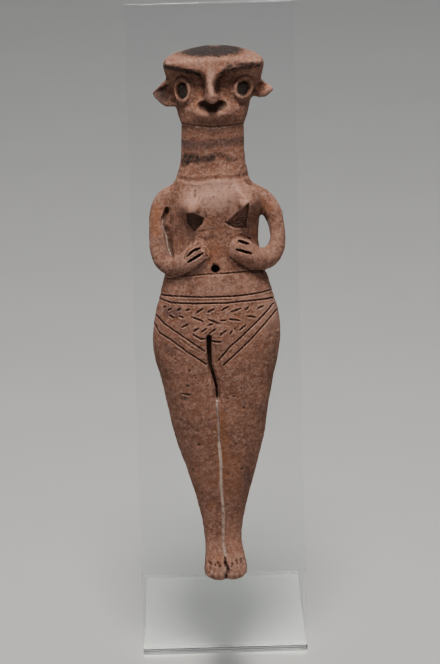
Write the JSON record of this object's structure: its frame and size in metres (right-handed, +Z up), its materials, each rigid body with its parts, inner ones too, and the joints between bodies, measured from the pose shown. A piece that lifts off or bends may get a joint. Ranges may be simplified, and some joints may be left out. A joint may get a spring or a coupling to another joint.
{
  "type": "terracotta female figurine on a clear display stand",
  "caption": "Handmade clay female figurine with a flat-topped head, hands on the belly and an incised hip triangle, leaning on a clear bent-sheet stand.",
  "frame": {"origin": "middle of the flat underside of the stand's foot", "axes": "+Z up, +X to the right of a viewer who faces the figurine, +Y away from that viewer, towards the back of the foot"},
  "size_m": [0.06, 0.0845, 0.2347],
  "materials": {
    "terracotta": "matte",
    "clear_acrylic": "gloss"
  },
  "bodies": {
    "root": {"female_figurine": "terracotta", "clear_stand": "clear_acrylic"}
  },
  "joints": []
}
